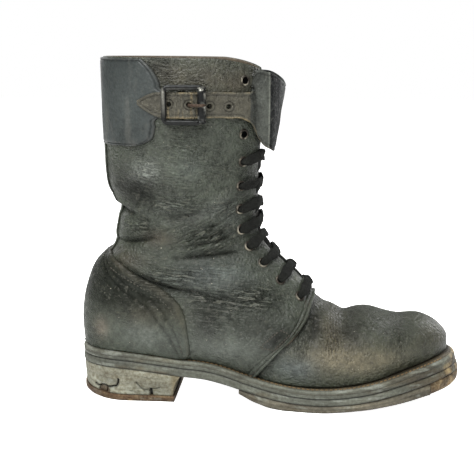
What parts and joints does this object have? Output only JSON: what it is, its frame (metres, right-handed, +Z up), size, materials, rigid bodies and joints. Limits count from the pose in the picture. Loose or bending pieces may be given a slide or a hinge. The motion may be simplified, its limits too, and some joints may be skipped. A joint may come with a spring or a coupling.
{
  "type": "military high boot",
  "caption": "Right laced military high boot with a buckled cuff and front flap, welted layered leather sole, repaired half sole, iron toe plate and heel iron.",
  "frame": {"origin": "middle of the boot's box, on the floor it stands on", "axes": "+X towards the toe, +Y towards the inner side of the foot, +Z up"},
  "size_m": [0.308, 0.1078, 0.271],
  "materials": {
    "sole_leather": "waxed sole edge, dusty",
    "tap_leather": "worn",
    "heel_leather": "dry, cracked",
    "insole_leather": "matt",
    "boot_leather": "worn semi-matt",
    "counter_leather": "worn semi-matt",
    "tongue_leather": "matt",
    "cuff_leather": "smooth",
    "strap_leather": "cracked",
    "rusty_iron": "rusty",
    "buckle_steel": "dark, worn bright on edges",
    "eyelet_brass": "worn black over brass",
    "lace_cotton": "matt cotton"
  },
  "bodies": {
    "root": {"outsole": "sole_leather", "midsole": "sole_leather", "welt": "sole_leather", "half_sole": "tap_leather", "toe_plate": "rusty_iron", "heel_block": "heel_leather", "heel_plate": "rusty_iron", "insole": "insole_leather", "upper": "boot_leather", "counter": "counter_leather", "backstay": "counter_leather", "tongue": "tongue_leather", "cuff": "cuff_leather", "strap": "strap_leather", "buckle_frame": "buckle_steel", "buckle_prong": "rusty_iron", "eyelet_lateral_01": "eyelet_brass", "eyelet_lateral_02": "eyelet_brass", "eyelet_lateral_03": "eyelet_brass", "eyelet_lateral_04": "eyelet_brass", "eyelet_lateral_05": "eyelet_brass", "eyelet_lateral_06": "eyelet_brass", "eyelet_lateral_07": "eyelet_brass", "eyelet_lateral_08": "eyelet_brass", "eyelet_lateral_09": "eyelet_brass", "eyelet_lateral_10": "eyelet_brass", "eyelet_lateral_11": "eyelet_brass", "eyelet_medial_01": "eyelet_brass", "eyelet_medial_02": "eyelet_brass", "eyelet_medial_03": "eyelet_brass", "eyelet_medial_04": "eyelet_brass", "eyelet_medial_05": "eyelet_brass", "eyelet_medial_06": "eyelet_brass", "eyelet_medial_07": "eyelet_brass", "eyelet_medial_08": "eyelet_brass", "eyelet_medial_09": "eyelet_brass", "eyelet_medial_10": "eyelet_brass", "eyelet_medial_11": "eyelet_brass", "lace": "lace_cotton"}
  },
  "joints": []
}
